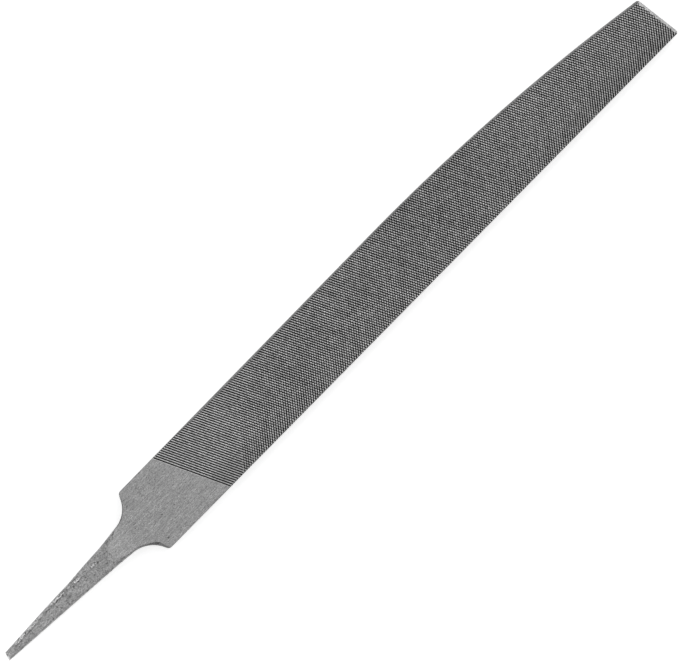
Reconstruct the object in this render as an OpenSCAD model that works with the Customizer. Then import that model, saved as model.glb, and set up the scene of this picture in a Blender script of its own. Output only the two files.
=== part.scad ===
// Flat file: one steel forging, with a cut blade and the tang that takes a handle.
// +X runs from the tang to the point, +Y towards the bellied edge, and +Z out of
// the upper face. The origin is at the shoulders, on the axis and in mid-thickness.

/* [Blade] */
// Length from the origin to the point, along the middle of the blade
blade_l = 200; // [180:1:240]
// Half width at the shoulders, on the side of the bellied edge
belly_side_w = 10.62; // [10:0.01:11.5]
// Half width at the shoulders, on the side of the straight edge
straight_side_w = 10.55; // [10:0.01:11.5]
// How much the bellied edge spreads before its curve starts, per millimetre
belly_spread = 0.0094; // [0:0.0001:0.015]
// How much the straight edge draws in towards the point, per millimetre
straight_draw = 0.004; // [0:0.0001:0.01]
// Distance from the shoulder to the start of the belly's curve
belly_start = 100; // [80:1:130]
// Radius of the belly's curve
belly_r = 640; // [560:10:900]

/* [Thickness] */
// Thickness of the blade over its parallel length
blade_t = 5; // [4:0.1:6]
// Distance from the origin to where the faces start to curve together
taper_start = 120; // [100:1:150]
// Thickness at the point
point_t = 3.2; // [2.4:0.1:3.8]

/* [Point] */
// Lean of the end face away from square
point_lean = 6.7; // [0:0.1:12]
// Distance from the middle of the end face to the blade's axis
point_shift = 2.46; // [1:0.01:4]
// Width of the bevel at the end of each face, seen from above
point_bevel = 0.67; // [0.2:0.01:1]
// Depth of that bevel
point_bevel_h = 0.45; // [0.2:0.05:0.8]
// Radius of the corners of the end face, seen from above
point_corner_r = 0.85; // [0.3:0.05:2]

/* [Shoulders] */
// Angle between the flank and the blade's axis on the bellied side
belly_flank = 65; // [54:1:72]
// Angle between the flank and the blade's axis on the straight side
straight_flank = 69; // [60:1:74]
// How far behind the origin the shoulder is on the bellied side
belly_slip = 0.5; // [0:0.1:1]
// How far behind the origin the shoulder is on the straight side
straight_slip = 1.5; // [0:0.1:2]
// Radius of the sweep from the bellied side's shoulder into the tang
belly_sweep_r = 8; // [6:0.1:9]
// Radius of the sweep from the straight side's shoulder into the tang
straight_sweep_r = 8.8; // [6:0.1:9]
// Radius of the rounded shoulder corners
shoulder_r = 1.3; // [0.4:0.1:1.6]

/* [Tang] */
// Length of the tang behind the origin
tang_l = 55.1; // [48:0.1:70]
// Distance from the axis to where the flank's line meets the tang's, bellied side
belly_root_w = 4.87; // [4.4:0.01:5.2]
// Distance from the axis to where the flank's line meets the tang's, straight side
straight_root_w = 4.63; // [4.4:0.01:5.2]
// Distance behind the origin at which the tang's long taper starts
neck_x = 15; // [13:0.5:18]
// Half width at the start of the long taper
neck_half_w = 3.54; // [3:0.01:3.8]
// Width at the end of the tang
end_w = 2.4; // [2:0.1:4]
// Sideways drift of the end of the tang, towards the bellied edge
end_drift = 0.4; // [-0.5:0.1:0.5]
// How much shorter the tang is on its bellied side
end_slant = 0.8; // [0:0.1:1.5]
// Distance behind the origin at which the tang starts to thin
thin_start = 12; // [8:1:16]
// Thickness at the end of the tang
end_t = 2.2; // [1.8:0.1:3]

/* [Hidden] */

STEEL = [0.57, 0.57, 0.56];
// Shapes that cut or are cut reach this far past the faces they meet
lap = 1;
// Straight steps along the belly, the faces' curve, the sweeps and the rounded corners
BELLY_STEPS = 24;
FACE_STEPS = 8;
SWEEP_STEPS = 12;
CORNER_STEPS = 6;

// Directions of the sides of the blade, seen from above
belly_dir = atan(belly_spread);
straight_dir = atan(straight_draw);
end_dir = 90 + point_lean;

// Corners of the blade, and the centre of the belly's curve
belly_heel = [-belly_slip, belly_side_w];
straight_heel = [-straight_slip, -straight_side_w];
belly_centre = belly_heel + belly_start * [1, belly_spread] + along(belly_dir - 90, belly_r);
point_mid = [blade_l, -point_shift];
end_toe = line_cross(point_mid, end_dir, straight_heel, straight_dir);
end_top = line_on_circle(point_mid, end_dir, belly_centre, belly_r);
end_top_turn = direction(belly_centre, end_top);

// Corners of the tang
belly_root = belly_heel - flank_run(belly_side_w - belly_root_w, belly_flank) * [1, tan(belly_flank)];
straight_root = straight_heel
    - flank_run(straight_side_w - straight_root_w, straight_flank) * [1, -tan(straight_flank)];
belly_neck = [-neck_x, neck_half_w];
straight_neck = [-neck_x, -neck_half_w];
belly_tail = [end_slant - tang_l, end_drift + end_w / 2];
straight_tail = [-tang_l, end_drift - end_w / 2];

// Radius of the faces' curve over the tapered length
taper_l = blade_l - taper_start;
face_drop = (blade_t - point_t) / 2;
face_r = (taper_l * taper_l + face_drop * face_drop) / (2 * face_drop);

function along(angle, distance) = distance * [cos(angle), sin(angle)];

// How far a flank runs along the axis while it crosses this much of the width
function flank_run(across, angle) = across / tan(angle);

function direction(from, to) = atan2(to[1] - from[1], to[0] - from[0]);

function arc(centre, r, from, to, steps) =
    [for (i = [0:steps]) centre + along(from + (to - from) * i / steps, r)];

// Where two lines cross, each given by a point and a direction
function line_cross(p, p_dir, q, q_dir) =
    let (gap = q - p)
    let (across = gap[0] * sin(q_dir) - gap[1] * cos(q_dir))
    p + along(p_dir, across / sin(q_dir - p_dir));

// Where a line that starts inside a circle leaves it
function line_on_circle(p, p_dir, centre, r) =
    let (gap = p - centre)
    let (step = along(p_dir, 1))
    let (near = gap * step)
    p + step * (sqrt(near * near - gap * gap + r * r) - near);

// The arc that rounds a corner. from and to are the directions of travel
// before and after it, and a turn to the left is positive.
function rounded(corner, from, to, r, steps) =
    let (turn = to - from)
    let (side = turn > 0 ? 90 : -90)
    let (centre = corner + along((from + to) / 2 + side, r / cos(turn / 2)))
    arc(centre, r, from - side, to - side, steps);

// The outline from above, from the tail of the tang along the straight edge to the
// point, and back along the bellied edge
outline = concat(
    [straight_tail, straight_neck],
    rounded(straight_root, direction(straight_neck, straight_root), -straight_flank, straight_sweep_r, SWEEP_STEPS),
    rounded(straight_heel, -straight_flank, straight_dir, shoulder_r, CORNER_STEPS),
    rounded(end_toe, straight_dir, end_dir, point_corner_r, CORNER_STEPS),
    rounded(end_top, end_dir, end_top_turn + 90, point_corner_r, CORNER_STEPS),
    arc(belly_centre, belly_r, end_top_turn + asin(point_corner_r / belly_r), 90 + belly_dir, BELLY_STEPS),
    rounded(belly_heel, 180 + belly_dir, 180 + belly_flank, shoulder_r, CORNER_STEPS),
    rounded(belly_root, 180 + belly_flank, direction(belly_root, belly_neck) + 360, belly_sweep_r, SWEEP_STEPS),
    [belly_neck, belly_tail]
);

// The upper edge of the outline from the side, from the tail to past the point
upper_edge = concat(
    [[-tang_l - lap, end_t / 2], [-tang_l, end_t / 2], [-thin_start, blade_t / 2]],
    arc([taper_start, blade_t / 2 - face_r], face_r, 90, 90 - asin((taper_l + 2 * lap) / face_r), FACE_STEPS)
);

lower_edge = [for (i = [len(upper_edge) - 1:-1:0]) [upper_edge[i][0], -upper_edge[i][1]]];

// The outline from the side, as thick as the file and drawn wider than it
module side_profile() {
    rotate([90, 0, 0])
    linear_extrude(height = 4 * belly_side_w, center = true)
    polygon(concat(upper_edge, lower_edge));
}

// The wedge that bevels the upper face along the end
module end_wedge() {
    rise = lap * point_bevel_h / point_bevel;
    translate([point_mid[0], point_mid[1], point_t / 2])
    rotate([90, 0, point_lean])
    linear_extrude(height = 4 * belly_side_w, center = true)
    polygon([[-point_bevel - lap, rise], [lap, -point_bevel_h - rise], [lap, rise]]);
}

// The forging: the plan cut to the side outline, with both faces bevelled at the end
module blade_and_tang() {
    color(STEEL)
    difference() {
        intersection() {
            linear_extrude(height = 2 * blade_t, center = true) polygon(outline);
            side_profile();
        }
        end_wedge();
        mirror([0, 0, 1]) end_wedge();
    }
}

blade_and_tang();
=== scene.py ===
"""Looks of the flat file: one steel forging with cut faces and edges, a ground heel and a forged tang."""

import math

import bpy
import numpy as np
from mathutils import Matrix, Vector

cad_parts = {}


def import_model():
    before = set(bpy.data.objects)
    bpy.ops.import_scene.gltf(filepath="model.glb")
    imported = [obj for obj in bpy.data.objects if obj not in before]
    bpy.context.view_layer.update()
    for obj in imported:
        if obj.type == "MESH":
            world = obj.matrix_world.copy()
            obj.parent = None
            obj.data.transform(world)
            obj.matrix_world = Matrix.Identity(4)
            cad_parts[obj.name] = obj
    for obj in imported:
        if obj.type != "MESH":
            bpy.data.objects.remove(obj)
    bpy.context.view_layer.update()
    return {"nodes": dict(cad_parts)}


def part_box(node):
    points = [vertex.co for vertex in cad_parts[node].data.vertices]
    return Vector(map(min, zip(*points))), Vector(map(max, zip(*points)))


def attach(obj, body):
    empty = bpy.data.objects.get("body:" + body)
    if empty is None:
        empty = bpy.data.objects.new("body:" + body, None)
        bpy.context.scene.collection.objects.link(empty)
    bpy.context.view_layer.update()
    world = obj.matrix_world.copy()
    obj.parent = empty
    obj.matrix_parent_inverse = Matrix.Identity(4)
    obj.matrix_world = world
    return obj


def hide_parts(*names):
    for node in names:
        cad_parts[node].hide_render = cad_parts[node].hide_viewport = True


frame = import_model()

# Lengths are in millimetres until a mesh is made, and metres from there on. +X runs from the tang to the
# point, +Y towards the bellied edge, and the shoulders are near x = 0.
MM = 0.001
NODE = "blade_and_tang"
SEED = 11
# What each noise adds to the seed, apart from the skin's bumps, which have theirs in their list
PIT_SEED, SEAM_SEED, WEAR_SEED, DENT_SEED = 7, 9, 20, 30

# Material slots of the piece
GROUND, CUT, FORGED = 0, 1, 2


# ---------------------------------------------------------------- sizes of the teeth

# The faces' two sets of chisel cuts. Both have lines past the point, and the overcut's lines also reach back
# before its start, where they aren't cut. Angles and pitches are (x, value) pairs: the angle is between the
# lines and the file's axis, given where a line meets the axis, and the pitch is across the lines.
UPCUT_START = 18.0
UPCUT_END = 208.0
UPCUT_ANGLE = ((18.0, 65.3), (45.0, 64.3), (200.0, 63.1))
UPCUT_PITCH = ((120.0, 0.667), (200.0, 0.645))
OVERCUT_START = 36.8
OVERCUT_LINES = (-2.0, 214.0)
OVERCUT_ANGLE = ((0.0, 50.3), (200.0, 51.5))
OVERCUT_PITCH = ((120.0, 0.656), (200.0, 0.666))
# Where the valley lies, as a share of the way from one crest to the next
VALLEY = 0.40

# Depth of the upcut, and the share that it loses towards the point, between these shares of the length
UPCUT_DEPTH = 0.208
UPCUT_POINT_LOSS = 0.27
UPCUT_POINT_LOSS_IN = (0.62, 0.85)
# The share that it loses towards the straight edge, between these shares of the width: least at one share of
# the length, and more with distance from there
UPCUT_SIDE_LOSS = 0.2
UPCUT_SIDE_LOSS_GROWTH = 1.2
UPCUT_SIDE_LOSS_IN = (0.45, 1.0)
UPCUT_DEEPEST_AT = 0.55

# Depth of the overcut, as (x, depth) pairs along the bellied and along the straight edge. It has a share of
# its depth from just before its start, and all of it after the run-in.
OVERCUT_BELLY_DEPTH = ((50.0, 0.05), (80.0, 0.07), (110.0, 0.135), (140.0, 0.115), (170.0, 0.08))
OVERCUT_STRAIGHT_DEPTH = ((50.0, 0.145), (80.0, 0.125), (110.0, 0.10), (140.0, 0.125), (170.0, 0.16))
OVERCUT_EARLY = 0.3
OVERCUT_FIRST = 0.42
OVERCUT_RUN_IN = 13.0
# Both sets fade out over this length before the bevel at the point
CUT_FADE = 0.4

# How much the cuts differ from one another: in place, in depth line by line, and in depth tooth by tooth
LINE_SCATTER = 0.005
UPCUT_DEPTH_SCATTER = 0.03
OVERCUT_DEPTH_SCATTER = 0.04
TOOTH_SCATTER = 0.08
# Smooth wear of the teeth, and the size of its patches
WEAR = 0.02
WEAR_CELL = 2.5

# The single set of cuts on the long edges: their pitch, their depth, where the valley lies as a share of the
# pitch, the length over which they start, and how far from the point they end
EDGE_PITCH = 0.9
EDGE_DEPTH = 0.10
EDGE_VALLEY = 0.3
EDGE_RUN_IN = 1.0
EDGE_OUT = (1.6, 2.6)
# How far the edge cuts lean along the file, where that comes in and, from the point, where it goes out
EDGE_SLANT = 1.1
EDGE_SLANT_IN = (3.0, 12.0)
EDGE_SLANT_OUT = (1.0, 6.0)

# Marks that the cut steel reads for painted highlights on the tips and painted shade in the gullets.
# No cut counts as shallower than LEAST_DEPTH. The long edges reach inwards by EDGE_REACH times the depth
# of their cuts. A crest there is marked EDGE_CREST_MARK deep at most, and a valley EDGE_VALLEY_MARK deeper.
LEAST_DEPTH = 0.05
EDGE_REACH = 1.2
EDGE_CREST_MARK = 0.28
EDGE_VALLEY_MARK = 0.4

# The block that trims a face: half width and end of its teeth, where its flat heel ends, and how deep it goes
FIELD_HALF_W = 12.3
FIELD_END = 203.5
HEEL_BACK = -60.0
TRIM_DEPTH = 10.0


# ---------------------------------------------------------------- sizes of the blank

# Widths of the blade: over which the cuts' depth changes, and from the axis to where the edge cuts start
BLADE_W = 21.0
HEEL_HALF_W = 10.6
# How far the blank rises past the cut faces before they trim it, and how far it stays inside the outline
CLEARANCE = 0.3
SKIN_INSET = 0.005
# y of the middle of the file at the tail, at the shoulders and at the point
MIDDLE_Y = (0.3, 0.0, -2.4)
# Rows of points lean with the end faces from these places on
POINT_LEAN_START = 150.0
TAIL_LEAN_START = -46.0

# Pairs that end in IN or OUT give the stretch of the file over which something comes in or goes out

# The ground tongue on the tang: its tip, its middle, half its width, and the skin's slope beside it
TONGUE_X = -13.8
TONGUE_Y = -0.45
TONGUE_Y_IN = (-7.0, -12.0)
TONGUE_HALF_W = 1.7
TONGUE_SIDE_SLOPE = 0.085
TONGUE_SIDE_IN = (-22.0, -14.0)
TONGUE_SIDE_OUT = (-9.5, -6.0)
# Where the forged skin ends, its slope towards the tail, and where the tang's own rounding goes out
SCALE_END = -1.0
TANG_SLOPE = 0.034
TANG_ROUND_OUT = (-13.0, -7.0)
# The hollow in the tang's bellied side
HOLLOW_X = -28.0
HOLLOW_DEPTH = 0.15
HOLLOW_L = 4.0
# Bumps of the forged skin, as (height, cell, seed), and the share of them that reaches the tongue
SKIN_BUMPS = ((0.022, 2.2, 0), (0.026, 0.9, 3), (0.018, 0.5, 5))
SKIN_BUMPS_IN = (-14.0, -17.0)
SKIN_BUMPS_SHARE = 0.45
# Its pits, which are where noise is above a level, and the bumps on the seam
PIT_DEPTH = 0.09
PIT_CELL = 1.1
PIT_LEVEL = 0.4
SEAM_BUMP = 0.16
SEAM_CELL = 0.45
# The dents down the tang's sides: their depth, the cell of their noise, and half the height that the noise
# takes a side for
SIDE_DENT = 0.05
SIDE_DENT_CELL = 1.4
SIDE_DENT_HALF_H = 3.0
SIDE_DENT_IN = (-10.0, -16.0)

# The tang's ridge, where glints are painted: its distance from the bellied side, what that gains and loses
# again on the way to the tongue, its half width, and where its painted glints clump, as (middle, reach)
RIDGE_FROM_SIDE = 0.6
RIDGE_GAIN = 1.4
RIDGE_GAIN_IN = (-36.0, -17.0)
RIDGE_LOSS = 1.5
RIDGE_LOSS_IN = (-14.0, -8.0)
RIDGE_HALF_W = 0.42
RIDGE_IN = (-53.0, -50.0)
RIDGE_OUT = (-8.0, -10.0)
RIDGE_CLUMPS = ((-49.2, 1.3), (-44.0, 3.5), (-33.0, 2.4), (-26.3, 2.0), (-19.5, 1.5))
# Strength of its painted glints and extra pits between those clumps, and what the clumps add.
# Both are stronger on the tail's side.
RIDGE_GLINTS = 0.3
RIDGE_CLUMP_GAIN = 0.9
RIDGE_STRENGTH = 1.6
RIDGE_STRENGTH_LOSS = 0.6
RIDGE_STRENGTH_LOSS_IN = (-24.0, -20.0)
# The pitted seam along the tongue's bellied side: a place on it, its slope, its half width, and the strength
# of its pits and painted glints
SEAM_X = -12.0
SEAM_Y = 2.5
SEAM_SLOPE = 0.62
SEAM_HALF_W = 0.55
SEAM_GLINTS = 0.55
SEAM_IN = (-15.0, -13.5)
SEAM_OUT = (-8.5, -10.0)

# Bevels at the two ends, and the length at the point in which the CAD part's own bevel lies
BEVEL_ZONE = 3.0
POINT_BEVEL = 0.62
POINT_BEVEL_H = 0.40
TAIL_BEVEL = 0.7
TAIL_BEVEL_H = 0.42

# Rounding of the long edges, as (width, height): on the ground faces' straight side, what the roll round its
# shoulder adds, what the shoulder's corner adds to that, on the bellied side, what it gains over the first
# teeth, and on the two sides of the tang
STRAIGHT_ROUND = (0.20, 0.15)
ROLL_ROUND = (0.32, 0.50)
CORNER_ROUND = (0.34, 0.15)
BELLY_ROUND = (0.24, 0.17)
BELLY_GAIN = (0.86, 0.33)
ROLL_IN = (-11.0, -7.0)
ROLL_OUT = (-1.5, -0.7)
CORNER_IN = (-5.0, -2.5)
BELLY_GAIN_IN = (14.0, 34.0)
TANG_STRAIGHT_ROUND = (0.65, 0.50)
TANG_BELLY_ROUND = (0.55, 0.40)
# The roundings' shape, how the blank rises inside them, and how narrow the tang is where they shrink
ROUND_POWER = 1.7
ROUND_RISE = 0.25
ROUND_SHRINK = 0.32

# Rows of points: how far from an end its own rows reach, those rows' distances from it, where the rows of
# the tang's root and of the blade start, and the steps between rows along the tang and along its root
END_ROWS = 1.1
TAIL_ROWS = (0.0, 0.1, 0.25, 0.45, TAIL_BEVEL)
POINT_ROWS = (END_ROWS, 0.85, POINT_BEVEL, 0.5, 0.34, 0.2, 0.1, 0.03, 0.0)
ROOT_START = -16.0
BLADE_ROWS_START = 3.0
TANG_STEP = 0.32
ROOT_STEP = 0.17

# Columns of points: distances in from both sides, how much of the width they may take, and how many columns
# lie between them
INSETS = (0.0, 0.07, 0.16, 0.28, 0.44, 0.64, 0.9, 1.2)
INSETS_SHARE = 0.30
BETWEEN = 14
# Edges sharper than this stay sharp, and a face larger than this is flat
SHARP_ANGLE = 38.0
FLAT_AREA = 20.0
# Levels of the points down a long side, from 1 at the upper face to -1 at the lower
WALL_LEVELS = (0.72, 0.25, -0.25, -0.72)
# How far in from the side a face follows the edge cuts' notches, the share of a notch that it follows, and
# how far in it follows their lean
NOTCH_REACH = 0.5
NOTCH_SHARE = 0.6
LEAN_REACH = 1.15


# ---------------------------------------------------------------- helpers

def smooth(t):
    """Eases a value that runs from 0 to 1, so that it starts and stops level"""
    t = np.clip(t, 0.0, 1.0)
    return t * t * (3.0 - 2.0 * t)


def ramp(x, start, end):
    """0 at start, 1 at end, level past both and smooth between them. The end may lie before the start."""
    return smooth((x - start) / (end - start))


def along(table, x):
    """A value that changes along the file, from its (x, value) pairs"""
    return np.interp(x, *zip(*table))


def cotangent(degrees):
    return 1.0 / math.tan(math.radians(degrees))


def noise(x, y, cell, seed):
    """Smooth noise from -1 to 1, the same at every run"""
    table = np.random.default_rng(seed).uniform(-1.0, 1.0, (256, 256))
    u, v = np.asarray(x) / cell, np.asarray(y) / cell
    i, j = np.floor(u).astype(int), np.floor(v).astype(int)
    s, t = smooth(u - i), smooth(v - j)
    a, b = table[i % 256, j % 256], table[(i + 1) % 256, j % 256]
    c, d = table[i % 256, (j + 1) % 256], table[(i + 1) % 256, (j + 1) % 256]
    return (a * (1 - s) + b * s) * (1 - t) + (c * (1 - s) + d * s) * t


def link_object(name, mesh):
    obj = bpy.data.objects.new(name, mesh)
    bpy.context.scene.collection.objects.link(obj)
    return obj


def mesh_object(name, verts, faces, materials, face_slot):
    """An object made of points in millimetres and faces, with the material slot of each face"""
    mesh = bpy.data.meshes.new(name)
    mesh.from_pydata((np.asarray(verts) * MM).tolist(), [], faces)
    for material in materials:
        mesh.materials.append(material)
    mesh.polygons.foreach_set("material_index", np.asarray(face_slot, np.int32))
    return link_object(name, mesh)


# ---------------------------------------------------------------- the CAD shape

# A face at an end has at least this much of its normal along X, and points this near share an x
END_FACING = 0.9
SAME_X = 0.02


def plan_sides(points):
    """The two long sides of the CAD part from above, as points (x, y) ordered from the tang to the point"""
    plan = np.unique(np.round(points[:, :2], 3), axis=0)
    middle = np.interp(plan[:, 0], [plan[:, 0].min(), 0.0, plan[:, 0].max()], MIDDLE_Y)
    return plan[plan[:, 1] > middle], plan[plan[:, 1] < middle]


def end_line(mesh, sign):
    """The end face that looks along sign * X, as (x where it meets the axis, slant in x per y)"""
    faces = [p for p in mesh.polygons if sign * p.normal.x > END_FACING]
    face = max(faces, key=lambda p: p.area)
    slant = face.normal.y / face.normal.x
    return (face.center.x + slant * face.center.y) / MM, slant


def half_thickness(points):
    """Height of the upper face along the file, as a function of x"""
    xs = np.unique(np.round(points[:, 0], 2))
    xs = xs[xs < points[:, 0].max() - BEVEL_ZONE]
    zs = np.array([points[np.abs(points[:, 0] - x) < SAME_X, 2].max() for x in xs])
    return lambda x: np.interp(x, xs, zs)


cad_mesh = frame["nodes"][NODE].data
cad_points = np.array([v.co for v in cad_mesh.vertices]) / MM
belly_side, straight_side = plan_sides(cad_points)
point_x, point_slant = end_line(cad_mesh, 1)
tail_x, tail_slant = end_line(cad_mesh, -1)
face_z = half_thickness(cad_points)


# ---------------------------------------------------------------- the blank

def row_stations():
    """Places along the file where the blank has a ring of points, and 1 at each valley of the edge cut"""
    tail = tail_x + np.array(TAIL_ROWS)
    tang = np.arange(tail_x + END_ROWS, ROOT_START, TANG_STEP)
    root = np.arange(ROOT_START, BLADE_ROWS_START, ROOT_STEP)
    length = point_x - END_ROWS - BLADE_ROWS_START
    count = int(length / EDGE_PITCH)
    crests = BLADE_ROWS_START + length * np.arange(count) / count
    valleys = crests + EDGE_VALLEY * EDGE_PITCH
    blade = np.stack([crests, valleys], 1).ravel()
    end = point_x - np.array(POINT_ROWS)
    before = len(tail) + len(tang) + len(root)
    valley = np.concatenate([np.zeros(before), np.tile([0, 1], count), np.zeros(len(end))])
    return np.concatenate([tail, tang, root, blade, end]), valley


def before_point(distances):
    """Places at these distances from the point"""
    return [point_x - d for d in distances]


def side_at(side, ring_x, slant):
    """y of a long side of the CAD part where each leaning row of the blank meets it"""
    met = side[:, 0][None] + slant[:, None] * side[:, 1][None]
    y = np.zeros(len(ring_x))
    for i, row in enumerate(met):
        order = np.argsort(row)
        y[i] = np.interp(ring_x[i], row[order], side[order, 1])
    return y


def columns(width):
    """Distances of the columns from the straight side: close together at both sides, even between them"""
    scale = np.minimum(1.0, INSETS_SHARE * width / INSETS[-1])
    inner = INSETS[-1] * scale
    shares = np.linspace(0.0, 1.0, BETWEEN + 2)[1:-1]
    rows = [scale * d for d in INSETS]
    rows += [inner + (width - 2 * inner) * share for share in shares]
    rows += [width - scale * d for d in INSETS[::-1]]
    return np.stack(rows, 1)


def edge_drop(distance, width, height):
    """How far a rounded edge lies below the face at a distance in from the side. Past its width it rises."""
    inside = height * np.clip(1.0 - distance / width, 0.0, 1.0) ** ROUND_POWER
    outside = ROUND_RISE * np.clip(distance - width, 0.0, None)
    return inside - outside


def sides_drop(from_low, from_high, low_round, high_round, shrink):
    """How far both rounded edges lie below the face, given the (width, height) of each"""
    return np.maximum(
        edge_drop(from_low, low_round[0] * shrink, low_round[1] * shrink),
        edge_drop(from_high, high_round[0] * shrink, high_round[1] * shrink),
    )


def face_rounding(x):
    """(width, height) of the rounding of the straight edge and of the bellied edge, along the ground faces"""
    roll = ramp(x, *ROLL_IN) * (1 - ramp(x, *ROLL_OUT))
    corner = ramp(x, *CORNER_IN)
    toothed = ramp(x, *BELLY_GAIN_IN)
    low = [a + b * roll + c * corner * roll for a, b, c in zip(STRAIGHT_ROUND, ROLL_ROUND, CORNER_ROUND)]
    high = [a + b * toothed for a, b in zip(BELLY_ROUND, BELLY_GAIN)]
    return low, high


def seam(x, y):
    """1 on the pitted seam where the tongue meets the scale on its bellied side, and 0 away from it"""
    off = (y - SEAM_Y - SEAM_SLOPE * (x - SEAM_X)) / SEAM_HALF_W
    return np.exp(-off ** 2) * ramp(x, *SEAM_IN) * ramp(x, *SEAM_OUT)


def forged_height(x, y, side, drop):
    """Height of the forged skin. It slopes away from the ground face, and beside the tongue as well."""
    beside = np.clip(np.abs(y - TONGUE_Y * ramp(x, *TONGUE_Y_IN)) - TONGUE_HALF_W, 0, None)
    beside = beside * ramp(x, *TONGUE_SIDE_IN) * (1 - ramp(x, *TONGUE_SIDE_OUT))
    skin = face_z(0.0) + TANG_SLOPE * (x - TONGUE_X) - TONGUE_SIDE_SLOPE * beside
    rough = sum(height * noise(x, y, cell, SEED + seed + side) for height, cell, seed in SKIN_BUMPS)
    rough = rough - PIT_DEPTH * np.clip(noise(x, y, PIT_CELL, SEED + PIT_SEED + side) - PIT_LEVEL, 0, 1)
    rough = rough + SEAM_BUMP * seam(x, y) * noise(x, y, SEAM_CELL, SEED + SEAM_SEED + side)
    skin = skin + rough * (SKIN_BUMPS_SHARE + (1 - SKIN_BUMPS_SHARE) * ramp(x, *SKIN_BUMPS_IN))
    rounded = 1 - ramp(x, *TANG_ROUND_OUT)
    return np.minimum(skin, face_z(0.0) + CLEARANCE) - rounded * np.clip(drop, 0, None)


def blank():
    """The forging before its faces are cut: rings of points joined into one closed skin"""
    # Where each ring meets the axis
    ring_x, valley = row_stations()
    slant = point_slant * ramp(ring_x, POINT_LEAN_START, point_x)
    slant = slant + tail_slant * ramp(ring_x, TAIL_LEAN_START, tail_x)
    high = side_at(belly_side, ring_x, slant) - SKIN_INSET
    low = side_at(straight_side, ring_x, slant) + SKIN_INSET
    high = high - HOLLOW_DEPTH * np.exp(-((ring_x - HOLLOW_X) / HOLLOW_L) ** 2)
    turn_high, turn_low = np.gradient(high, ring_x), np.gradient(low, ring_x)

    # Edge teeth start level with the face teeth and end before the point
    run = HEEL_HALF_W * cotangent(UPCUT_ANGLE[0][1])
    first_high, first_low = UPCUT_START - run, UPCUT_START + run
    before_end = ramp(ring_x, *before_point(EDGE_OUT))
    cut_high = ramp(ring_x, first_high, first_high + EDGE_RUN_IN) * before_end
    cut_low = ramp(ring_x, first_low, first_low + EDGE_RUN_IN) * before_end
    notch_high, notch_low = EDGE_DEPTH * valley * cut_high, EDGE_DEPTH * valley * cut_low
    lean = EDGE_SLANT * ramp(ring_x, *EDGE_SLANT_IN) * ramp(ring_x, *before_point(EDGE_SLANT_OUT))

    width = high - low
    across = columns(width)

    def face(side):
        """Points of the upper (side 1) or lower (side -1) face"""
        d_low, d_high = across, width[:, None] - across
        near = np.minimum(d_low, d_high)
        in_low = notch_low[:, None] * np.clip(1 - d_low / NOTCH_REACH, 0, 1)
        in_high = notch_high[:, None] * np.clip(1 - d_high / NOTCH_REACH, 0, 1)
        y = low[:, None] + across
        y = y + (in_low - in_high) * NOTCH_SHARE
        shift = side * lean[:, None] * np.clip(1 - near / LEAN_REACH, 0, 1)
        x = ring_x[:, None] - slant[:, None] * y + shift
        y = y + shift * np.where(d_low < d_high, turn_low[:, None], turn_high[:, None])
        # Distances square to the sides, and smaller roundings where the tang is narrow
        from_low = d_low / np.sqrt(1 + turn_low ** 2)[:, None]
        from_high = d_high / np.sqrt(1 + turn_high ** 2)[:, None]
        shrink = np.minimum(1.0, ROUND_SHRINK * width)[:, None]
        drop = sides_drop(from_low, from_high, *face_rounding(x), shrink)
        ground = face_z(np.maximum(x, 0.0)) - np.maximum(drop, -CLEARANCE)
        tang_drop = sides_drop(from_low, from_high, TANG_STRAIGHT_ROUND, TANG_BELLY_ROUND, shrink)
        z = np.minimum(forged_height(x, y, side, tang_drop), ground)
        to_point = (point_x - ring_x)[:, None]
        to_tail = (ring_x - tail_x)[:, None]
        z = np.minimum(z, face_z(x) - POINT_BEVEL_H * (1.0 - to_point / POINT_BEVEL))
        z = np.minimum(z, face_z(x) - TAIL_BEVEL_H * (1.0 - to_tail / TAIL_BEVEL))
        return np.stack([x, y, side * z], 2)

    top, bottom = face(1), face(-1)
    rows, cols = top.shape[:2]

    def wall(column, sign, edge, notch, turn):
        """Points between the upper and the lower face down one long side"""
        a, b = top[:, column], bottom[:, column]
        plain = edge - sign * notch
        points = []
        for level in WALL_LEVELS:
            k = (level + 1) / 2
            p = a * k + b * (1 - k)
            height = np.full_like(ring_x, SIDE_DENT_HALF_H * level)
            bumps = noise(ring_x, height, SIDE_DENT_CELL, SEED + DENT_SEED + sign)
            dents = SIDE_DENT * ramp(ring_x, *SIDE_DENT_IN) * (1 + bumps)
            p[:, 0] = ring_x - slant * plain + lean * level
            p[:, 1] = plain - sign * dents + turn * lean * level
            points.append(p)
        return points

    ring = [top[:, j] for j in range(cols)]
    ring += wall(cols - 1, 1, high, notch_high, turn_high)
    ring += [bottom[:, j] for j in range(cols - 1, -1, -1)]
    ring += wall(0, -1, low, notch_low, turn_low)[::-1]
    ring = np.stack(ring, 1)

    n = ring.shape[1]
    i, j = np.meshgrid(np.arange(rows - 1), np.arange(n), indexing="ij")
    after = (j + 1) % n
    quads = np.stack([i * n + j, (i + 1) * n + j, (i + 1) * n + after, i * n + after], 2)
    faces = quads.reshape(-1, 4).tolist()
    faces.append(list(range(n)))
    faces.append(list(range((rows - 1) * n, rows * n))[::-1])

    skin = np.where(ring_x[:-1] > SCALE_END, GROUND, FORGED)[:, None] * np.ones(n, int)
    skin[cut_high[:-1] > 0.5, cols - 1:cols + len(WALL_LEVELS)] = CUT
    skin[cut_low[:-1] > 0.5, n - len(WALL_LEVELS) - 1:] = CUT
    return ring.reshape(-1, 3), faces, skin.ravel().tolist() + [FORGED, GROUND]


# ---------------------------------------------------------------- the cut faces

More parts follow.
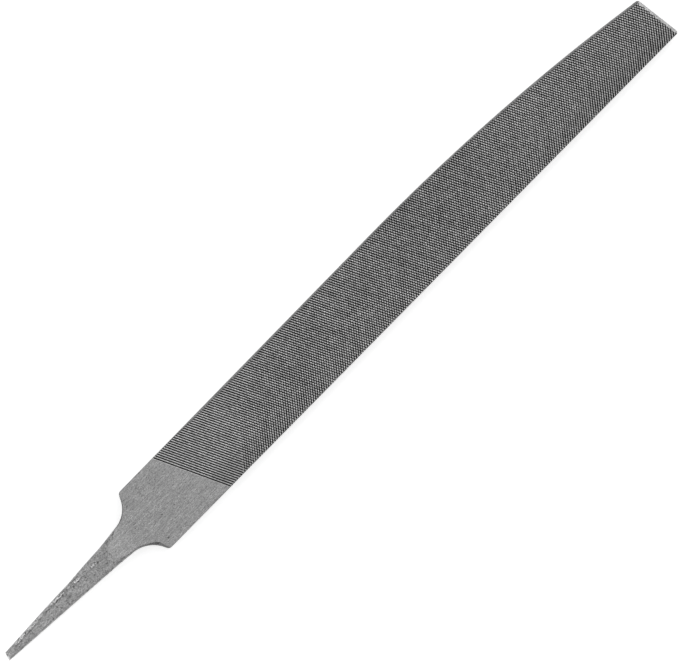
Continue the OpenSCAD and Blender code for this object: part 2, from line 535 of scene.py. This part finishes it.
def lines(start, angles, pitch, first, last):
    """The crest and valley lines of one set of chisel cuts: where each meets the axis, and its cotangent"""
    places, x = [], start
    while x < last:
        places.append(x)
        x += along(pitch, x) / math.sin(math.radians(along(angles, x)))
    step = places[1] - places[0]
    while places[0] > first:
        places.insert(0, places[0] - step)
    places = np.array(places)
    gaps = np.diff(places, append=places[-1] + step)
    both = np.stack([places, places + VALLEY * gaps], 1).ravel()
    return both, 1.0 / np.tan(np.radians(along(angles, both)))


def cut_depth(x, y):
    """How deep the two sets of cuts are at a place on the upper face: the upcut, then the overcut"""
    across = np.clip(0.5 - y / BLADE_W, 0.0, 1.0)
    u = np.clip(x / point_x, 0.0, 1.0)
    up = 1.0 - UPCUT_POINT_LOSS * ramp(u, *UPCUT_POINT_LOSS_IN)
    side_loss = UPCUT_SIDE_LOSS + UPCUT_SIDE_LOSS_GROWTH * np.abs(u - UPCUT_DEEPEST_AT)
    up = up * (1.0 - side_loss * ramp(across, *UPCUT_SIDE_LOSS_IN))
    belly = along(OVERCUT_BELLY_DEPTH, x)
    straight = along(OVERCUT_STRAIGHT_DEPTH, x)
    past = x - y / math.tan(math.radians(OVERCUT_ANGLE[0][1])) - OVERCUT_START
    share = OVERCUT_FIRST + (1 - OVERCUT_FIRST) * ramp(past, 0.0, OVERCUT_RUN_IN)
    started = (past > -OVERCUT_EARLY) * share
    bevel = point_x - POINT_BEVEL
    kept = 1.0 - ramp(x + point_slant * y, bevel - CUT_FADE, bevel)
    return kept * UPCUT_DEPTH * up, kept * (belly + (straight - belly) * across) * started


def tooth_points():
    """A grid of points where the lines of the two sets cross, at the height that the cuts leave"""
    up_x, up_cot = lines(UPCUT_START, UPCUT_ANGLE, UPCUT_PITCH, UPCUT_START, UPCUT_END)
    over_x, over_cot = lines(OVERCUT_START, OVERCUT_ANGLE, OVERCUT_PITCH, *OVERCUT_LINES)
    rng = np.random.default_rng(SEED)
    up_jitter = rng.normal(0.0, 1.0, len(up_x) // 2).repeat(2)
    over_jitter = rng.normal(0.0, 1.0, len(over_x) // 2).repeat(2)
    up_x = up_x + LINE_SCATTER * up_jitter * (np.arange(len(up_x)) > 0)
    over_x = over_x + LINE_SCATTER * over_jitter

    y = (up_x[:, None] - over_x[None]) / (up_cot[:, None] + over_cot[None])
    x = up_x[:, None] - y * up_cot[:, None]
    up_depth, over_depth = cut_depth(x, y)
    wear = 1 + WEAR * noise(x, y, WEAR_CELL, SEED + WEAR_SEED)
    wear = wear + rng.normal(0.0, TOOTH_SCATTER, x.shape)
    up_depth = up_depth * wear * (1 + UPCUT_DEPTH_SCATTER * up_jitter[:, None])
    over_depth = over_depth * wear * (1 + OVERCUT_DEPTH_SCATTER * over_jitter[None])
    up_valley = (np.arange(len(up_x)) % 2 == 1)[:, None]
    over_valley = (np.arange(len(over_x)) % 2 == 1)[None]
    return np.stack([x, y, face_z(x) - up_depth * up_valley - over_depth * over_valley], 2)


def area_above(ring):
    """Twice the area inside a ring of points seen from above, and less than 0 if the ring runs clockwise"""
    x, y = ring[:, 0], ring[:, 1]
    return np.sum(x * np.roll(y, -1) - np.roll(x, -1) * y)


def closed_block(points, faces):
    """Walls and a bottom below an open surface. Returns the points and the faces, the surface's first."""
    keep = np.unique(np.concatenate(faces))
    new = np.full(len(points), -1)
    new[keep] = np.arange(len(keep))
    faces = [[int(new[k]) for k in f] for f in faces]
    points = points[keep]
    edges = {(f[k], f[(k + 1) % len(f)]) for f in faces for k in range(len(f))}
    rim = [(p, q) for p, q in edges if (q, p) not in edges]
    n = len(points)
    bottom = points.copy()
    bottom[:, 2] = -TRIM_DEPTH
    walls = [[q, p, p + n, q + n] for p, q in rim]
    under = [[k + n for k in f[::-1]] for f in faces]
    return np.concatenate([points, bottom]), faces + walls + under


def tooth_field():
    """A closed block whose top is the cut upper face: two sets of grooves, and the ground heel behind them"""
    grid = tooth_points()
    # Cells whose middle is on the blade or just off it, as one run in each row
    middle = (grid[:-1, :-1] + grid[1:, 1:]) / 2
    inside = (np.abs(middle[..., 1]) < FIELD_HALF_W) & (middle[..., 0] < FIELD_END)
    index = np.arange(grid[..., 0].size).reshape(grid.shape[:2])
    i, j = np.nonzero(inside)
    quads = np.stack([index[i, j], index[i + 1, j], index[i + 1, j + 1], index[i, j + 1]], 1)
    points = grid.reshape(-1, 3)

    # The ground heel: one face, from the first cut back to beyond the tang
    used = np.nonzero(inside[0])[0]
    first_row = [int(index[0, k]) for k in range(used[0], used[-1] + 2)]
    heel_z = float(face_z(0.0))
    corners = [[HEEL_BACK, points[k, 1], heel_z] for k in (first_row[0], first_row[-1])]
    heel = first_row + [len(points) + 1, len(points)]
    points = np.concatenate([points, np.array(corners)])

    # All of them face upwards
    if area_above(points[quads[0]]) < 0:
        quads = quads[:, ::-1]
    if area_above(points[heel]) < 0:
        heel = heel[::-1]
    top = quads.tolist() + [heel]
    points, faces = closed_block(points, top)
    slots = [CUT] * len(quads) + [GROUND] + [FORGED] * (len(faces) - len(top))
    return points, faces, slots


# ---------------------------------------------------------------- materials

class Nodes:
    """A short way to write a node material"""

    def __init__(self, name):
        self.material = bpy.data.materials.new(name)
        self.material.use_nodes = True
        self.tree = self.material.node_tree
        self.tree.nodes.clear()
        self.shader = self.add("ShaderNodeBsdfPrincipled")
        out = self.add("ShaderNodeOutputMaterial")
        self.link(self.shader, 0, out, "Surface")
        self.shader.inputs["Metallic"].default_value = 1.0
        self.coord = self.add("ShaderNodeTexCoord")

    def add(self, kind, **settings):
        node = self.tree.nodes.new(kind)
        for key, value in settings.items():
            setattr(node, key, value)
        return node

    def link(self, source, output, target, socket):
        self.tree.links.new(source.outputs[output], target.inputs[socket])

    def noise(self, scale, detail=4.0, rough=0.55):
        """Noise in object space; scale is per metre along x, y and z"""
        mapping = self.add("ShaderNodeMapping")
        mapping.inputs["Scale"].default_value = scale
        self.link(self.coord, "Object", mapping, "Vector")
        tex = self.add("ShaderNodeTexNoise")
        tex.inputs["Scale"].default_value = 1.0
        tex.inputs["Detail"].default_value = detail
        tex.inputs["Roughness"].default_value = rough
        self.link(mapping, 0, tex, "Vector")
        return tex

    def span(self, source, low, high, to_low, to_high, output=0):
        """Turns low to high into to_low to to_high, and goes no further"""
        node = self.add("ShaderNodeMapRange")
        node.inputs["From Min"].default_value = low
        node.inputs["From Max"].default_value = high
        node.inputs["To Min"].default_value = to_low
        node.inputs["To Max"].default_value = to_high
        self.link(source, output, node, "Value")
        return node

    def contrast(self, texture, low, high):
        """Noise stretched so that its usual range runs from low to high"""
        return self.span(texture, 0.3, 0.7, low, high)

    def maths(self, operation, a, b):
        node = self.add("ShaderNodeMath", operation=operation)
        for k, value in enumerate((a, b)):
            if isinstance(value, (int, float)):
                node.inputs[k].default_value = value
            else:
                self.link(value, 0, node, k)
        return node

    def product(self, first, *others):
        for other in others:
            first = self.maths("MULTIPLY", first, other)
        return first

    def along(self, axis, start, end, low, high):
        """Changes smoothly along X, Y or Z, between two places given in millimetres"""
        place = self.add("ShaderNodeSeparateXYZ")
        self.link(self.coord, "Object", place, 0)
        node = self.span(place, start * MM, end * MM, low, high, axis)
        node.interpolation_type = "SMOOTHSTEP"
        return node

    def attribute(self, name):
        node = self.add("ShaderNodeAttribute", attribute_name=name)
        return self.span(node, 0, 1, 0, 1, "Fac")

    def grey(self, value, tint=(1.0, 0.998, 1.0)):
        """Turns a brightness into the base colour"""
        mix = self.add("ShaderNodeCombineColor")
        for k, t in enumerate(tint):
            self.link(self.maths("MULTIPLY", value, t), 0, mix, k)
        self.link(mix, 0, self.shader, "Base Color")

    def roughness(self, value):
        self.link(value, 0, self.shader, "Roughness")

    def bump(self, height, distance):
        node = self.add("ShaderNodeBump")
        node.inputs["Distance"].default_value = distance
        node.inputs["Strength"].default_value = 1.0
        self.link(height, 0, node, "Height")
        self.link(node, 0, self.shader, "Normal")


# Base brightness of ground steel
STEEL_BRIGHT = 0.41


def ground_steel():
    """Surface ground along the blade: fine lines, faint cloudiness and a few dark pits"""
    steel = Nodes("ground_steel")
    streaks = steel.noise((700.0, 4300.0, 4300.0), 3.0, 0.6)
    drawn = steel.noise((70.0, 1900.0, 1900.0), 3.0, 0.6)
    cloud = steel.noise((260.0, 420.0, 420.0), 4.0)
    grain = steel.noise((3000.0, 3700.0, 3700.0), 3.0, 0.6)
    pits = steel.noise((900.0, 1200.0, 1200.0), 2.0)
    scratches = steel.noise((450.0, 13000.0, 13000.0), 2.0)
    steel.grey(steel.product(
        STEEL_BRIGHT,
        steel.contrast(streaks, 0.80, 1.20),
        steel.contrast(drawn, 0.90, 1.10),
        steel.contrast(cloud, 0.97, 1.03),
        steel.contrast(grain, 0.60, 1.40),
        steel.span(pits, 0.66, 0.70, 1.0, 0.5),
        steel.contrast(scratches, 0.75, 1.25),
        # Lighter on the tongue; painted shade darkens the bevel at the point
        steel.along("X", -10.0, -5.0, 1.16, 1.0),
        steel.along("X", 198.0, 199.5, 1.0, 0.72),
    ))
    steel.roughness(steel.contrast(cloud, 0.36, 0.46))
    steel.bump(steel.maths("ADD", scratches, streaks), 0.00001)
    return steel.material


def cut_steel():
    """The cut faces, with painted light: tooth tips painted bright as highlights, gullets painted dark as
    shade
    """
    steel = Nodes("cut_steel")
    deep = steel.attribute("gullet")
    cloud = steel.noise((120.0, 240.0, 240.0), 3.0)
    grain = steel.noise((2600.0, 2600.0, 2600.0), 3.0)
    # Painted highlight on the tooth tips and painted shade in the gullets, from the depth mark
    crest = steel.span(deep, 0.15, 0.62, 0.69, 0.018)
    crest.interpolation_type = "SMOOTHSTEP"
    steel.grey(steel.product(
        crest,
        steel.contrast(cloud, 0.99, 1.01),
        # Darker towards the straight edge, and where the overcut is still young
        steel.along("Y", -9.0, 0.0, 0.9, 1.0),
        steel.along("X", 34.0, 46.0, 1.0, 0.97),
        steel.along("X", 60.0, 85.0, 1.0, 1.03),
        steel.contrast(grain, 0.70, 1.30),
    ))
    steel.roughness(steel.span(deep, 0.0, 1.0, 0.34, 0.6))
    steel.bump(grain, 0.00001)
    return steel.material


def forged_steel():
    """Scale left by the hammer: blotches and pits, and bright spots painted on as glints"""
    steel = Nodes("forged_steel")
    blotch = steel.noise((420.0, 700.0, 700.0), 5.0, 0.62)
    grain = steel.noise((2300.0, 2700.0, 2700.0), 4.0, 0.75)
    pits = steel.noise((1300.0, 1700.0, 1700.0), 3.0)
    spots = steel.noise((2100.0, 2300.0, 2300.0), 1.0, 0.6)
    ridge = steel.attribute("painted_glints")
    # Along the ridge there are more pits, and painted glints: bright spots in the colour
    pits = steel.maths("ADD", pits, steel.span(ridge, 0.0, 1.0, 0.0, 0.08))
    painted_glints = steel.product(ridge, steel.span(spots, 0.50, 0.52, 0.0, 1.0))
    scale = steel.product(
        1.2 * STEEL_BRIGHT,
        steel.contrast(blotch, 0.84, 1.14),
        steel.contrast(grain, 0.35, 1.65),
        # Darker near the tongue; beside it, towards the shoulders, painted shade on the roll and flanks;
        # lighter at the tail, a painted highlight on its end bevel
        steel.along("X", -26.0, -17.0, 1.0, 0.9),
        steel.along("X", -10.0, -6.0, 1.0, 0.5),
        steel.along("X", -55.0, -54.2, 1.6, 1.0),
        steel.span(pits, 0.60, 0.66, 1.0, 0.35),
    )
    # Painted glints: where the bright spots outshine the scale, the colour takes their brightness
    steel.grey(steel.maths("MAXIMUM", scale, painted_glints))
    steel.roughness(steel.span(painted_glints, 0.0, 1.0, 0.5, 0.25))
    rougher = steel.span(ridge, 0.0, 1.0, 1.0, 4.0)
    steel.bump(steel.product(steel.maths("ADD", blotch, grain), rougher), 0.00008)
    return steel.material


# ---------------------------------------------------------------- the piece

def trim(piece, cutters):
    """Keeps what lies inside every cutter, then deletes the cutters"""
    for cutter in cutters:
        modifier = piece.modifiers.new(cutter.name, "BOOLEAN")
        modifier.operation = "INTERSECT"
        modifier.solver = "MANIFOLD"
        modifier.object = cutter
    bpy.context.view_layer.update()
    graph = bpy.context.evaluated_depsgraph_get()
    done = bpy.data.meshes.new_from_object(piece.evaluated_get(graph))
    piece.modifiers.clear()
    piece.data = done
    done.name = piece.name
    for cutter in cutters:
        bpy.data.objects.remove(cutter)


def store(mesh, name, value):
    """Keeps a value from 0 to 1 at each point for the materials"""
    layer = mesh.attributes.new(name, "FLOAT", "POINT")
    layer.data.foreach_set("value", np.clip(value, 0.0, 1.0).astype(np.float32))


def mark_painted_light(mesh):
    """Marks for painted light: how deep each point lies in the cut, and the tang's band of glints and pits"""
    co = np.zeros(len(mesh.vertices) * 3)
    mesh.vertices.foreach_get("co", co)
    x, y, z = (co.reshape(-1, 3) / MM).T
    edge = np.where(y > 0, np.interp(x, *belly_side.T), -np.interp(x, *straight_side.T))
    from_edge = edge - np.abs(y)

    # From 0 on a tooth's tip to 1 in the gullet: painted highlight on the tips, painted shade in the gullets
    up, over = cut_depth(x, y * np.sign(z))
    deep = (face_z(x) - np.abs(z)) / np.maximum(up + over, LEAST_DEPTH)
    deep_on_edge = np.minimum(deep, EDGE_CREST_MARK + EDGE_VALLEY_MARK * from_edge / EDGE_DEPTH)
    store(mesh, "gullet", np.where(from_edge < EDGE_REACH * EDGE_DEPTH, deep_on_edge, deep))

    # The ridge along the tang, beside its bellied side, with painted glints in bright spots and more pits
    ridge = RIDGE_FROM_SIDE + RIDGE_GAIN * ramp(x, *RIDGE_GAIN_IN) - RIDGE_LOSS * ramp(x, *RIDGE_LOSS_IN)
    on_ridge = np.exp(-(((edge - y) - ridge) / RIDGE_HALF_W) ** 2) * ramp(x, *RIDGE_IN) * ramp(x, *RIDGE_OUT)
    clumps = sum(np.exp(-((x - middle) / reach) ** 2) for middle, reach in RIDGE_CLUMPS)
    on_ridge = on_ridge * (RIDGE_STRENGTH - RIDGE_STRENGTH_LOSS * ramp(x, *RIDGE_STRENGTH_LOSS_IN))
    on_ridge = on_ridge * (RIDGE_GLINTS + RIDGE_CLUMP_GAIN * np.clip(clumps, 0.0, 1.0))
    # The seam by the tongue gets the same, with fainter painted glints
    store(mesh, "painted_glints", np.maximum(on_ridge, SEAM_GLINTS * seam(x, y)))


def shade(mesh):
    """Teeth and the large flat faces keep their own facets, and rounded skin is smooth"""
    slot_of = np.zeros(len(mesh.polygons), np.int32)
    area = np.zeros(len(mesh.polygons))
    mesh.polygons.foreach_get("material_index", slot_of)
    mesh.polygons.foreach_get("area", area)
    mesh.set_sharp_from_angle(angle=math.radians(SHARP_ANGLE))
    mesh.polygons.foreach_set("use_smooth", (slot_of != CUT) & (area < FLAT_AREA * MM * MM))


def build_file():
    materials = [ground_steel(), cut_steel(), forged_steel()]
    verts, faces, slots = blank()
    piece = mesh_object("file_blade_and_tang", verts, faces, materials, slots)
    points, cells, slots = tooth_field()
    upper = mesh_object("upper_cut", points, cells, materials, slots)
    lower = mesh_object("lower_cut", points, cells, materials, slots)
    # The lower face is the upper one turned over about the file's axis
    lower.data.transform(Matrix.Diagonal((1, -1, -1, 1)))
    trim(piece, (upper, lower))
    mark_painted_light(piece.data)
    shade(piece.data)
    return piece


piece = build_file()
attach(piece, "root")
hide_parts(NODE)


# ---------------------------------------------------------------- stage, lights, camera

# The camera looks straight down at this point, turned so that the file runs up to the right. Its picture is
# VIEW_WIDTH wide at the height of the file's upper face.
VIEW_TURN = math.radians(45.197)
VIEW_CENTRE = (0.07527, -0.00133)
VIEW_WIDTH = 0.1895
VIEW_DISTANCE = 2.0
SENSOR = 36.0

FLOOR_HALF_W = 8.0
FLOOR_GAP = 0.00003
WORLD_STRENGTH = 0.42

file_low, file_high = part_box(NODE)


def stage_floor():
    z = file_low.z - FLOOR_GAP
    corners = [(x * FLOOR_HALF_W, y * FLOOR_HALF_W, z) for x, y in ((-1, -1), (1, -1), (1, 1), (-1, 1))]
    mesh = bpy.data.meshes.new("floor")
    mesh.from_pydata(corners, [], [(0, 1, 2, 3)])
    material = bpy.data.materials.new("pale_floor")
    material.use_nodes = True
    shader = material.node_tree.nodes["Principled BSDF"]
    shader.inputs["Base Color"].default_value = (0.85, 0.85, 0.85, 1)
    shader.inputs["Emission Color"].default_value = (1, 1, 1, 1)
    shader.inputs["Emission Strength"].default_value = 0.6
    shader.inputs["Roughness"].default_value = 0.9
    shader.inputs["Specular IOR Level"].default_value = 0.1
    mesh.materials.append(material)
    link_object("floor", mesh)


def soft_light(name, toward, height_angle, size, power, distance=2.2):
    """An area light that looks at the file's middle. toward is its direction round Z, in degrees from +X."""
    data = bpy.data.lights.new(name, "AREA")
    data.shape = "SQUARE"
    data.size = size
    data.energy = power
    lamp = link_object(name, data)
    a, e = math.radians(toward), math.radians(height_angle)
    back = Vector((math.cos(a) * math.cos(e), math.sin(a) * math.cos(e), math.sin(e)))
    lamp.location = Vector((*VIEW_CENTRE, 0)) + back * distance
    lamp.rotation_euler = (-back).to_track_quat("-Z", "Y").to_euler()
    lamp.visible_camera = False


def world(strength):
    """Even light from all round, which the camera sees as white"""
    made = bpy.data.worlds.new("studio")
    made.use_nodes = True
    sky = made.node_tree.nodes["Background"]
    sky.inputs["Color"].default_value = (1, 1, 1, 1)
    rays = made.node_tree.nodes.new("ShaderNodeLightPath")
    seen = made.node_tree.nodes.new("ShaderNodeMapRange")
    seen.inputs["To Min"].default_value = strength
    seen.inputs["To Max"].default_value = 1.0
    made.node_tree.links.new(rays.outputs["Is Camera Ray"], seen.inputs["Value"])
    made.node_tree.links.new(seen.outputs[0], sky.inputs["Strength"])
    bpy.context.scene.world = made


def camera():
    data = bpy.data.cameras.new("camera")
    data.sensor_width = SENSOR
    data.lens = SENSOR * VIEW_DISTANCE / VIEW_WIDTH
    data.clip_end = 20.0
    cam = link_object("camera", data)
    cam.location = (*VIEW_CENTRE, file_high.z + VIEW_DISTANCE)
    cam.rotation_euler = (0, 0, -VIEW_TURN)
    bpy.context.scene.camera = cam


stage_floor()
world(WORLD_STRENGTH)
soft_light("key", toward=60.0, height_angle=72.0, size=2.0, power=7.0)
soft_light("point_fill", toward=8.0, height_angle=22.0, size=1.2, power=9.0)
soft_light("tail_fill", toward=172.0, height_angle=28.0, size=1.2, power=7.0)
camera()
bpy.context.scene.view_settings.view_transform = "Standard"
